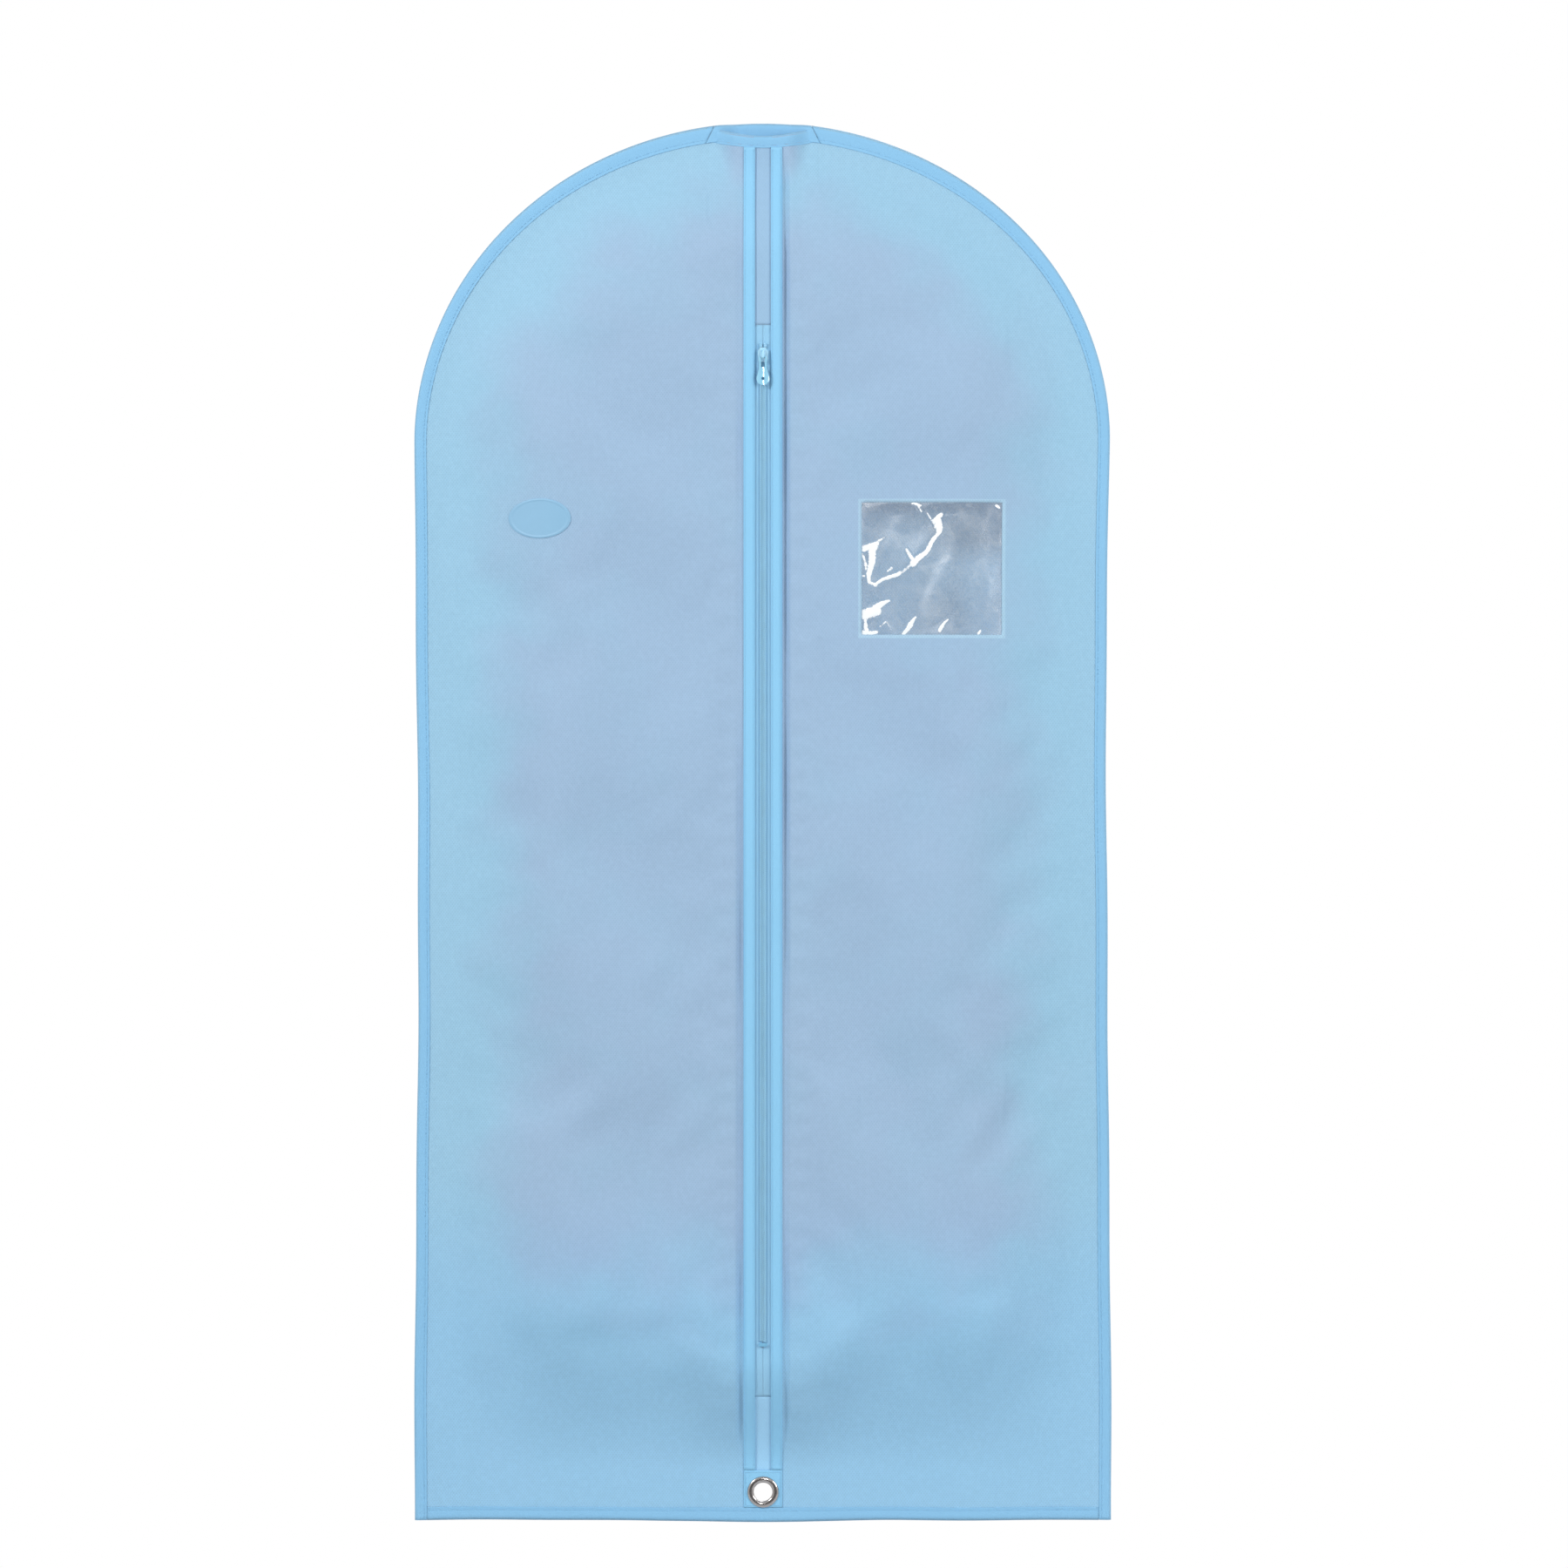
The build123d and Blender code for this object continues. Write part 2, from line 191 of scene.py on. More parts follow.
def front_y(x, z):
    bulge = np.hypot(front_depth * fill(x, z), neck_front * neck_lift(x, z))
    return placket_valley(x, z) - bulge - front_folds(x, z)


def back_folds(x, z):
    hang = ripple(x, z, 132 * mm, 0.05, 1.9, 0.9) * smooth((-z - 180 * mm) / (420 * mm))
    slack = ripple(x, z, 240 * mm, 1.1, 0.8, 1.2)
    shoulder = ripple(np.abs(x), z, 140 * mm, -1.0, 0.4) * hump((z + 170 * mm) / (200 * mm))
    reach = np.hypot(x, z)
    turn = np.arctan2(x, -z + 1 * mm)
    neck = np.sin(10 * turn + 0.4) * np.exp(-((reach - 70 * mm) / (80 * mm)) ** 2)
    neck *= smooth((reach - 24 * mm) / (40 * mm))
    return (1.9 * hang + 1.1 * slack + 1.4 * shoulder + 1.6 * neck) * mm * fill(x, z)


def back_y(x, z):
    return np.hypot(back_depth * fill(x, z), neck_back * neck_lift(x, z)) + back_folds(x, z)


def rim_y(x, z):
    return np.zeros_like(x)


def settle(x, y, z):
    """The whole bag's own hang, for every fabric piece: sides drawn in a little, and a wavy hem and rim."""
    out = np.abs(x) / half_width
    waist = np.sin(pi * np.clip((-z - 260 * mm) / (height - 300 * mm), 0, 1)) ** 2
    free = smooth((np.abs(x) - 32 * mm) / (80 * mm))
    low = smooth((-z - 840 * mm) / (330 * mm))
    wave = 3.4 * np.sin(x * 2 * pi / (262 * mm) + 0.7) + 1.5 * np.sin(x * 2 * pi / (121 * mm) + 2)
    sway = (2.6 * np.sin(z / (150 * mm) + np.sign(x)) + 0.8 * np.sin(z / (47 * mm))) * out**4
    down = smooth((-z - 120 * mm) / (200 * mm))
    chest = 3.2 * np.where(x > 0, hump((z + 440 * mm) / (330 * mm)), 0)
    x = x - np.sign(x) * (3.0 * waist + chest + 0.35 * np.sin(z / (33 * mm)) * down) * mm * out**3
    y = y + (wave * free * low + sway * down) * mm
    z = z - 1.8 * mm * hump(x / (120 * mm)) * smooth((-z - height + 16 * mm) / (15 * mm))
    return x, y, z


# Meshes ---------------------------------------------------


def add_object(name, points, faces, material, marks=None):
    """A smooth-shaded mesh object that rides on the bag. Points that no face uses are dropped.

    Marks are values for each point, by name, which the material reads.
    """
    used, faces = np.unique(faces, return_inverse=True)
    points, faces = np.asarray(points)[used], faces.reshape(-1, 4)
    mesh = bpy.data.meshes.new(name)
    mesh.from_pydata(points.tolist(), [], faces.tolist())
    mesh.polygons.foreach_set("use_smooth", [True] * len(mesh.polygons))
    mesh.materials.append(material)
    for mark, values in (marks or {}).items():
        layer = mesh.attributes.new(mark, "FLOAT", "POINT")
        layer.data.foreach_set("value", np.asarray(values, dtype=np.float32).ravel()[used])
    mesh.update()
    thing = bpy.data.objects.new(name, mesh)
    bpy.context.scene.collection.objects.link(thing)
    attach(thing, "bag")
    return thing


def grid_faces(rows, columns, wrap=False, keep=None):
    """Quads over a grid of points; wrap joins the last column to the first, keep leaves cells out."""
    r, c = np.meshgrid(np.arange(rows - 1), np.arange(columns if wrap else columns - 1), indexing="ij")
    after = (c + 1) % columns
    quads = np.stack([r * columns + c, r * columns + after, (r + 1) * columns + after, (r + 1) * columns + c])
    quads = quads.reshape(4, -1).T
    return quads if keep is None else quads[keep.ravel()]


def add_sheet(name, x, y, z, material, thickness=cloth, keep=None, marks=None):
    """A fabric sheet over a grid, given as arrays of x, y and z, and thickened about its middle."""
    x, y, z = settle(x, y, z)
    points = np.stack([x, y, z], axis=-1).reshape(-1, 3)
    thing = add_object(name, points, grid_faces(*x.shape, keep=keep), material, marks)
    thicken = thing.modifiers.new("thickness", "SOLIDIFY")
    thicken.thickness = thickness
    thicken.offset = 0
    return thing


def freedom(x, z, side):
    """How freely a panel's point hangs: 0 where it is sewn, welded or covered, 1 in the open fabric."""
    rise = np.maximum(0, z + arch_height) / arch_height
    from_rim = (1 - np.hypot(x / half_width, rise)) * half_width
    free = smooth((from_rim - 13 * mm) / (34 * mm)) * smooth((z + height - 16 * mm) / (130 * mm))
    free *= smooth((np.hypot(x, z) - 34 * mm) / (40 * mm))
    free *= smooth((np.hypot(x, z - eyelet_z) - 26 * mm) / (50 * mm))
    if side:
        free *= smooth((np.abs(x) - 21 * mm) / (16 * mm))
    for low, high, margin in ((film_low, film_high, 2 * mm), (label_low, label_high, 4 * mm)):
        if side * (low[0] + high[0]) > 0:
            out_x = np.maximum(np.maximum(low[0] - x, x - high[0]), 0)
            out_z = np.maximum(np.maximum(low[2] - z, z - high[2]), 0)
            free *= smooth((np.hypot(out_x, out_z) - margin) / (26 * mm))
    return free


def evened(values, mesh, rounds):
    """Averages a vector at each point with its neighbours', which takes the finest wrinkles out."""
    edges = np.empty(len(mesh.edges) * 2, dtype=np.int64)
    mesh.edges.foreach_get("vertices", edges)
    first, second = edges[0::2], edges[1::2]
    count = np.bincount(edges, minlength=len(values))[:, None]
    for _ in range(rounds):
        around = np.stack([np.bincount(first, values[second, k], len(values))
                           + np.bincount(second, values[first, k], len(values)) for k in range(3)], axis=-1)
        values = (values + around / count) / 2
    return values


def hang(panel, side, slack=0.006, frames=20, most=3.5 * mm):
    """Lets a panel with a little spare cloth hang from its seams, and keeps the folds that this makes."""
    mesh = panel.data
    flat = np.empty(len(mesh.vertices) * 3)
    mesh.vertices.foreach_get("co", flat)
    rest = flat.reshape(-1, 3).copy()
    free = freedom(rest[:, 0], rest[:, 2], side)
    pins = panel.vertex_groups.new(name="seams")
    for index in np.flatnonzero(free < 0.97):
        pins.add([int(index)], float(1 - free[index]), "REPLACE")
    modifier = panel.modifiers.new("hang", "CLOTH")
    settings = modifier.settings
    settings.vertex_group_mass = pins.name
    settings.quality = 6
    settings.mass = 0.00012
    settings.tension_stiffness = 18
    settings.compression_stiffness = 18
    settings.shear_stiffness = 6
    settings.bending_stiffness = 1.6
    settings.air_damping = 2.0
    settings.shrink_min = -slack
    settings.effector_weights.gravity = 0.35
    modifier.collision_settings.use_collision = False
    modifier.point_cache.frame_start, modifier.point_cache.frame_end = 1, frames
    panel.modifiers.move(len(panel.modifiers) - 1, 0)
    panel.modifiers["thickness"].show_viewport = False
    for step in range(1, frames + 1):
        bpy.context.scene.frame_set(step)
    hung = panel.evaluated_get(bpy.context.evaluated_depsgraph_get()).to_mesh()
    hung.vertices.foreach_get("co", flat)
    moved = flat.reshape(-1, 3) - rest
    far = np.linalg.norm(moved, axis=1, keepdims=True)
    moved *= np.tanh(far / most) * most / np.maximum(far, 1e-9)
    moved = evened(moved, mesh, 12)
    mesh.vertices.foreach_set("co", (rest + moved * smooth(2 * free)[:, None]).ravel())
    panel.modifiers.remove(modifier)
    panel.vertex_groups.remove(pins)
    panel.modifiers["thickness"].show_viewport = True
    bpy.context.scene.frame_set(1)
    mesh.update()


def spaced(low, high, step):
    """Values from low to high, at most about a step apart."""
    return np.linspace(low, high, max(2, int(np.ceil(abs(high - low) / step)) + 1))


def arch_z(x, wide=half_width, tall=arch_height):
    """Height of the arch over x."""
    return -arch_height + tall * np.sqrt(np.clip(1 - (x / wide) ** 2, 0, 1))


def neck_z(x, half=neck_half):
    """The dipped line of the front neck edge: an arc that falls to its middle."""
    return neck_dip_z + (neck_end_z - neck_dip_z) * (x / half) ** 2


def panel_grid(columns, top_z, step, levels=()):
    """Rows at constant height up to the spring of the arch, and from there rows that follow top_z."""
    bands = [spaced(low, high, step)[:-1] for low, high in zip(levels[:-1], levels[1:])]
    x, flat_z = np.meshgrid(columns, np.concatenate([*bands, [spring_z]]))
    arch_rows = spaced(0, 1, step / 300 / mm)[1:]
    arch = spring_z + (top_z(columns) - spring_z) * arch_rows[:, None]
    z = np.concatenate([flat_z, arch])
    return np.meshgrid(columns, np.arange(len(z)))[0], z


def cells(x, z):
    """Middle of each cell of a grid."""
    return [(a[:-1, :-1] + a[1:, :-1] + a[:-1, 1:] + a[1:, 1:]) / 4 for a in (x, z)]


def without_eyelet(x, z):
    """The cells of a grid that the eyelet's hole leaves."""
    mx, mz = cells(x, z)
    return np.hypot(mx, mz - eyelet_z) > eyelet_hole + 1.2 * mm


def add_bound_edge(name, outer, inner, base_y, material):
    """Binding tape folded over an edge: outer and inner are its two edges, as arrays of x and z."""
    across = np.concatenate([-(1 - spaced(0, 1, 0.13) ** 1.7), (1 - spaced(0, 1, 0.13) ** 1.7)[::-1][1:]])
    share = np.abs(across)[None, :]
    x = outer[0][:, None] * (1 - share) + inner[0][:, None] * share
    z = outer[1][:, None] * (1 - share) + inner[1][:, None] * share
    width = np.hypot(outer[0] - inner[0], outer[1] - inner[1])[:, None]
    round_over = np.sqrt(np.clip(1 - (1 - np.minimum(1, share * width / (1.6 * mm))) ** 2, 0, 1))
    along = np.cumsum(np.hypot(np.gradient(outer[0]), np.gradient(outer[1])))[:, None]
    pucker = 0.16 * mm * np.sin(along * 2 * pi / (9 * mm) + 2 * np.sin(along / (40 * mm))) * share**2
    crease = -0.25 * mm * hump((share - stitch_line) / 0.16)
    rise = (binding_rise + pucker + crease) * round_over
    y = base_y(x, z) + np.sign(across)[None, :] * rise
    return add_sheet(name, x, y, z, material, 0.45 * mm)


def add_strip(name, x0, x1, rows, level, material, thickness, keep_hole=False):
    """A flat strip down the front of the bag, a little fuller along its middle than at its edges.

    Its edges x0 and x1 are single values, or a value for each row.
    """
    x0, x1 = (np.broadcast_to(edge, rows.shape)[:, None] for edge in (x0, x1))
    share = spaced(0, 1, 1.0 * mm / np.abs(x1 - x0).max())[None, :]
    x, z = x0 + (x1 - x0) * share, np.repeat(rows[:, None], share.size, axis=1)
    crown = 0.18 * mm * np.sin(pi * share)
    y = front_y(x, z) + level - crown
    keep = without_eyelet(x, z) if keep_hole else None
    return add_sheet(name, x, y, z, material, thickness, keep)


def sewn(name, x, z, base_y, level, outward=-1, pitch=3.4 * mm, slot="fabric_binding"):
    """A row of stitches over x and z at a level on a surface, short threads that rise and go back in."""
    x, z = np.broadcast_arrays(np.asarray(x, float), np.asarray(z, float))
    path = np.stack(settle(x, base_y(x, z) + level, z), axis=-1)
    thread = 0.17 * mm
    steps = np.linalg.norm(np.diff(path, axis=0), axis=1)
    travelled = np.concatenate([[0], np.cumsum(steps)])
    count = max(1, int(travelled[-1] / pitch))
    share = np.array([0.0, 0.12, 0.5, 0.88, 1.0])
    lift = np.array([-0.9, 0.35, 0.75, 0.35, -0.9]) * thread
    starts = np.arange(count) * pitch + 0.15 * pitch
    at = starts[:, None] + share[None, :] * pitch * 0.78
    centre = np.stack([np.interp(at, travelled, path[:, i]) for i in range(3)], axis=-1)
    centre[..., 1] += outward * lift[None, :]
    run = np.gradient(centre, axis=1)
    run /= np.linalg.norm(run, axis=-1, keepdims=True)
    side = np.cross(run, [0, outward, 0])
    side /= np.linalg.norm(side, axis=-1, keepdims=True)
    up = np.cross(side, run)
    turn = np.arange(6) / 6 * 2 * pi
    round_thread = side[..., None, :] * np.cos(turn)[:, None] + up[..., None, :] * np.sin(turn)[:, None]
    points = (centre[..., None, :] + thread * round_thread).reshape(-1, 3)
    one = grid_faces(5, 6, wrap=True)
    faces = (one[None] + np.arange(count)[:, None, None] * 30).reshape(-1, 4)
    stitches = add_object(name, points, faces, sewing_thread)
    return stitches


# Materials ------------------------------------------------


def new_material(name, color, roughness, metallic=0.0):
    material = bpy.data.materials.new(name)
    material.use_nodes = True
    shader = material.node_tree.nodes["Principled BSDF"]
    shader.inputs["Base Color"].default_value = (*color, 1)
    shader.inputs["Roughness"].default_value = roughness
    shader.inputs["Metallic"].default_value = metallic
    return material, shader


class Nodes:
    """Short ways to add nodes to one material."""

    def __init__(self, material, shader):
        self.tree = material.node_tree
        self.shader = shader

    def add(self, kind, **inputs):
        node = self.tree.nodes.new(kind)
        for name, value in inputs.items():
            self.put(node.inputs[name.replace("_", " ")], value)
        return node

    def put(self, socket, value):
        if isinstance(value, bpy.types.NodeSocket):
            self.tree.links.new(value, socket)
        else:
            socket.default_value = value

    def math(self, operation, a, b=0.0, c=0.0):
        node = self.tree.nodes.new("ShaderNodeMath")
        node.operation = operation
        for socket, value in zip(node.inputs, (a, b, c)):
            self.put(socket, value)
        return node.outputs[0]

    def place(self):
        return self.tree.nodes.new("ShaderNodeTexCoord").outputs["Object"]

    def flat_place(self):
        """x and z of a point, so that a pattern runs straight through the cloth."""
        xyz = self.add("ShaderNodeSeparateXYZ", Vector=self.place())
        return self.add("ShaderNodeCombineXYZ", X=xyz.outputs["X"], Y=xyz.outputs["Z"]).outputs[0]

    def mark(self, name):
        """A value that the mesh carries at each point."""
        node = self.tree.nodes.new("ShaderNodeAttribute")
        node.attribute_name = name
        return node.outputs["Fac"]

    def noise(self, scale, detail=2.0, roughness=0.5, at=None, distortion=0.0):
        node = self.add("ShaderNodeTexNoise", Vector=at or self.place(), Scale=scale, Detail=detail,
                        Roughness=roughness, Distortion=distortion)
        return node.outputs["Fac"]

    def ramp(self, value, low, high, out_low=0.0, out_high=1.0):
        node = self.tree.nodes.new("ShaderNodeMapRange")
        node.interpolation_type = "SMOOTHSTEP"
        for socket, setting in zip(node.inputs, (value, low, high, out_low, out_high)):
            self.put(socket, setting)
        return node.outputs[0]

    def blend(self, share, first, second, kind="MIX"):
        node = self.tree.nodes.new("ShaderNodeMix")
        node.data_type = "RGBA"
        node.blend_type = kind
        self.put(node.inputs[0], share)
        self.put(node.inputs[6], first)
        self.put(node.inputs[7], second)
        return node.outputs[2]

    def tinted(self, share, color, dark):
        """The colour, from a darker tone of it where share is 0."""
        return self.blend(share, (*[dark * c for c in color], 1), (*color, 1))

    def constants(self, **values):
        """Plain values on the shader's own sockets."""
        for name, value in values.items():
            self.shader.inputs[name.replace("_", " ")].default_value = value

    def bump(self, height, distance, strength=1.0):
        node = self.add("ShaderNodeBump", Height=height, Distance=distance, Strength=strength)
        self.put(self.shader.inputs["Normal"], node.outputs[0])


def nonwoven(name, color, clear=0.0, bond=1.7 * mm, cloudy=1.0, painted_hollow_shade=None):
    """Spunbond fabric: random fibres pressed together by a diagonal grid of small bond points.

    Where a panel stands away from the other one, over the hollow inside the bag and under the neck, it takes
    a
    greyer colour, given as an argument: painted shade of the dark inside seen through the cloth. Towards the
    hem, where the two lie flat together, it is painted a little darker and bluer: partly the deeper colour of
    two layers, partly painted shade. Where it is welded to the film, its fibres are pressed smooth and
    bright.
    """
    material, shader = new_material(name, color, 0.72)
    n = Nodes(material, shader)
    flat = n.flat_place()
    turned = n.add("ShaderNodeMapping", Vector=flat, Rotation=(0, 0, radians(45)), Scale=(1, 0.72, 1))
    dots = n.add("ShaderNodeTexVoronoi", Vector=turned.outputs[0], Scale=1 / bond, Randomness=0.0)
    dots.voronoi_dimensions = "2D"
    pressed = n.ramp(dots.outputs["Distance"], 0.24, 0.34, 1.0, 0.0)
    fibres = n.noise(1 / (0.55 * mm), 3.0, 0.65, distortion=1.2)
    clouds = n.noise(1 / (4 * mm), 4.0, 0.65)
    broad = n.noise(1 / (70 * mm), 2.0, 0.5)
    pale = (*[min(1.0, 1.02 * c + 0.006) for c in color], 1)
    deep = (*[0.965 * c for c in color], 1)
    tone = n.math("MULTIPLY_ADD", n.ramp(clouds, 0.32, 0.68), 0.4 * cloudy, n.math("MULTIPLY", broad, 0.6))
    mixed = n.blend(tone, deep, pale)
    if painted_hollow_shade:
        # Painted shade over the hollow inside and under the neck, made a little uneven with broad noise.
        uneven = n.math("MULTIPLY_ADD", n.ramp(broad, 0.3, 0.7), 0.4, n.mark("painted_hollow_shade"))
        hollow_shaded_tone = n.blend(tone, (*[0.965 * c for c in painted_hollow_shade], 1), (*[1.02 * c for c in painted_hollow_shade], 1))
        mixed = n.blend(n.ramp(uneven, 0.25, 1.25), mixed, hollow_shaded_tone)
        # Painted shade, with some of the deeper colour of two layers: the cloth darker and bluer towards the
        # hem.
        mixed = n.blend(n.mark("flat"), mixed, (0.935, 1.0, 1.06, 1), "MULTIPLY")
        mixed = n.blend(n.math("MULTIPLY", n.mark("weld"), 0.45), mixed, (0.52, 0.78, 0.93, 1))
    n.put(shader.inputs["Base Color"], n.blend(n.math("MULTIPLY", pressed, 0.35), mixed, deep))
    n.put(shader.inputs["Roughness"], n.math("MULTIPLY_ADD", pressed, -0.2, 0.74))
    if clear:
        thin = n.ramp(clouds, 0.35, 0.7, 1 - 1.15 * clear, 1 - 0.85 * clear)
        n.put(shader.inputs["Alpha"], n.math("MULTIPLY_ADD", pressed, -0.5 * clear, thin))
    relief = n.math("MULTIPLY_ADD", pressed, -0.8, n.math("MULTIPLY", fibres, 0.6))
    n.bump(relief, 0.12 * mm, 0.7)
    n.constants(Sheen_Weight=0.25, Sheen_Roughness=0.4, Sheen_Tint=(0.8, 0.93, 1.0, 1),
                Specular_IOR_Level=0.35)
    return material


def woven_tape(name, color):
    """Narrow woven polyester tape, with ribs along it and a fine weft across."""
    material, shader = new_material(name, color, 0.6)
    n = Nodes(material, shader)
    xyz = n.add("ShaderNodeSeparateXYZ", Vector=n.place())
    ribs = n.math("SINE", n.math("MULTIPLY", xyz.outputs["X"], 2 * pi / (0.9 * mm)))
    weft = n.math("SINE", n.math("MULTIPLY", xyz.outputs["Z"], 2 * pi / (0.55 * mm)))
    weave = n.math("MULTIPLY_ADD", ribs, weft, n.math("MULTIPLY", ribs, 0.5))
    speckle = n.noise(1 / (0.8 * mm), 2.0)
    shade = n.ramp(n.math("MULTIPLY_ADD", speckle, 0.8, weave), -1.2, 1.8)
    n.put(shader.inputs["Base Color"], n.tinted(shade, color, 0.86))
    n.bump(weave, 0.1 * mm, 0.8)
    n.constants(Sheen_Weight=0.2)
    return material


def nylon(name, color):
    """Glossy nylon monofilament, a little uneven in colour along its length."""
    material, shader = new_material(name, color, 0.32)
    n = Nodes(material, shader)
    uneven = n.noise(1 / (14 * mm), 3.0)
    n.put(shader.inputs["Base Color"], n.tinted(uneven, color, 0.88))
    n.put(shader.inputs["Roughness"], n.ramp(n.noise(1 / (0.6 * mm), 2.0), 0.3, 0.7, 0.26, 0.42))
    n.bump(n.noise(1 / (0.3 * mm), 2.0), 0.02 * mm, 0.5)
    return material


def thread(name, color):
    """Twisted sewing thread."""
    material, shader = new_material(name, color, 0.55)
    n = Nodes(material, shader)
    xyz = n.add("ShaderNodeSeparateXYZ", Vector=n.place())
    lay = n.math("ADD", xyz.outputs["X"], n.math("ADD", xyz.outputs["Z"], xyz.outputs["Y"]))
    twist = n.math("SINE", n.math("MULTIPLY", lay, 2 * pi / (0.45 * mm)))
    n.put(shader.inputs["Base Color"], n.tinted(n.ramp(twist, -1, 1), color, 0.8))
    n.bump(twist, 0.04 * mm, 0.6)
    n.constants(Sheen_Weight=0.3)
    return material


def gloss_paint(name, color):
    """Baked paint on a small die casting: a clear gloss over a faint orange peel, rubbed at its edges."""
    material, shader = new_material(name, color, 0.28)
    n = Nodes(material, shader)
    edges = n.add("ShaderNodeNewGeometry").outputs["Pointiness"]
    scuffs = n.ramp(n.noise(1 / (0.8 * mm), 4.0, 0.7), 0.56, 0.72)
    worn = n.math("MULTIPLY", n.ramp(edges, 0.6, 0.7), scuffs)
    drift = n.noise(1 / (4 * mm), 2.0)
    painted = n.tinted(drift, color, 0.93)
    rubbed = n.math("MULTIPLY", worn, 0.35)
    n.put(shader.inputs["Base Color"], n.blend(rubbed, painted, (0.62, 0.78, 0.86, 1)))
    n.put(shader.inputs["Roughness"], n.math("MULTIPLY_ADD", scuffs, 0.1, 0.16))
    n.bump(n.noise(1 / (0.9 * mm), 2.0), 0.03 * mm, 0.4)
    n.constants(Coat_Weight=1.0, Coat_Roughness=0.08)
    return material


def plated(name, color, roughness, brushed=0.0):
    """Plated metal with fine scratches and a slight haze."""
    material, shader = new_material(name, color, roughness, 1.0)
    n = Nodes(material, shader)
    haze = n.noise(1 / (5 * mm), 4.0, 0.6)
    scratch = n.noise(1 / (0.25 * mm), 3.0, 0.7, distortion=2.5)
    n.put(shader.inputs["Base Color"], n.tinted(haze, color, 0.86))
    n.put(shader.inputs["Roughness"], n.ramp(scratch, 0.35, 0.75, roughness, roughness + 0.14))
    n.bump(scratch, 0.015 * mm, 0.35 + brushed)
    return material


def clear_film(name):
    """Soft clear vinyl, glossy, faintly blue, with a painted white highlight along its sharp creases."""
    material, shader = new_material(name, (0.93, 0.97, 1.0), 0.06)
    n = Nodes(material, shader)
    ripples = n.noise(1 / (16 * mm), 3.0, 0.6, distortion=1.5)
    fray = n.math("MULTIPLY_ADD", n.noise(1 / (2.6 * mm), 4.0, 0.65, distortion=0.8), 1.4, -0.7)
    # Painted highlight: the film turns opaque white along the creases, frayed at the edges.
    white = n.ramp(n.math("ADD", fray, n.mark("crease")), 0.38, 0.78)
    # Milky patches: partly the film's own haze, partly painted soft sheen.
    haze = n.ramp(n.noise(1 / (24 * mm), 3.0, distortion=1.0), 0.4, 0.8, 0.04, 0.11)
    n.put(shader.inputs["Alpha"], n.math("MAXIMUM", haze, n.math("MULTIPLY", white, 0.97)))
    glossy = n.ramp(ripples, 0.3, 0.7, 0.12, 0.2)
    n.put(shader.inputs["Roughness"], n.math("MULTIPLY_ADD", white, 0.3, glossy))
    n.bump(ripples, 0.5 * mm, 0.15)
    n.constants(Specular_IOR_Level=0.8, Coat_Weight=0.6, Coat_Roughness=0.12)
    return material


def moulded(name, color):
    """Soft moulded rubber of a sewn or welded patch."""
    material, shader = new_material(name, color, 0.5)
    n = Nodes(material, shader)
    grain = n.noise(1 / (0.7 * mm), 3.0, 0.6)
    cast = n.noise(1 / (12 * mm), 2.0)
    n.put(shader.inputs["Base Color"], n.tinted(cast, color, 0.94))
    n.put(shader.inputs["Roughness"], n.ramp(grain, 0.3, 0.7, 0.44, 0.6))
    n.bump(grain, 0.06 * mm, 0.5)
    return material


def floor_finish(name):
    material, shader = new_material(name, (0.6, 0.6, 0.6), 0.8)
    n = Nodes(material, shader)
    n.put(shader.inputs["Base Color"], n.blend(n.noise(3.0), (0.57, 0.57, 0.57, 1), (0.62, 0.62, 0.62, 1)))
    return material


# Its second colour is the painted shade of the hollow inside the bag and under the neck.
panel_cloth = nonwoven("panel_nonwoven", (0.355, 0.62, 0.815), clear=0.14, cloudy=0.5,
                       painted_hollow_shade=(0.38, 0.54, 0.74))
back_cloth = nonwoven("back_nonwoven", (0.355, 0.60, 0.81), clear=0.3, cloudy=0.6)
binding_cloth = nonwoven("binding_nonwoven", (0.245, 0.52, 0.775), bond=1.5 * mm, cloudy=0.5)
facing_cloth = nonwoven("facing_nonwoven", (0.265, 0.585, 0.85), bond=1.5 * mm, cloudy=0.4)
# One fabric in two copies: the upper insert greyer, painted shade of the dark inside seen through it, and the
# foot's brighter, painted light against the shade of its narrow slot.
shaded_insert_cloth = nonwoven("shaded_insert_nonwoven", (0.32, 0.515, 0.72), clear=0.04, cloudy=0.6)
lit_insert_foot_cloth = nonwoven("lit_insert_foot_nonwoven", (0.37, 0.68, 0.95), clear=0.04, cloudy=0.6)
tape_weave = woven_tape("zip_tape_weave", (0.33, 0.66, 0.93))
coil_nylon = nylon("zip_coil_nylon", (0.44, 0.78, 0.98))
sewing_thread = thread("sewing_thread", (0.30, 0.62, 0.88))
slider_paint = gloss_paint("slider_paint", (0.30, 0.64, 0.85))
# The stops' own blue paint, made darker than the slider's as painted shade of the slider's mouths beside its
# crown.
stop_paint_and_shade = gloss_paint("stop_paint_and_shade", (0.20, 0.50, 0.74))
eyelet_metal = plated("eyelet_nickel", (0.57, 0.54, 0.53), 0.12)
vinyl = clear_film("window_vinyl")
label_rubber = moulded("label_rubber", (0.255, 0.485, 0.69))


# Panels ---------------------------------------------------


def front_top(x):
    """Top edge of a front panel: the dipped neck edge, a notch at its end, and outside it the rim."""
    rim = arch_z(x, half_width - inset, arch_height - inset)
    neck = neck_z(x) - inset
    corner = neck_half - neck_gap - 0.4 * mm
    notch = np.interp(np.abs(x), [corner, corner + 6.5 * mm], [neck_z(corner) - inset, -15 * mm])
    return np.where(np.abs(x) < corner, neck, np.where(np.abs(x) < 48 * mm, notch, rim))


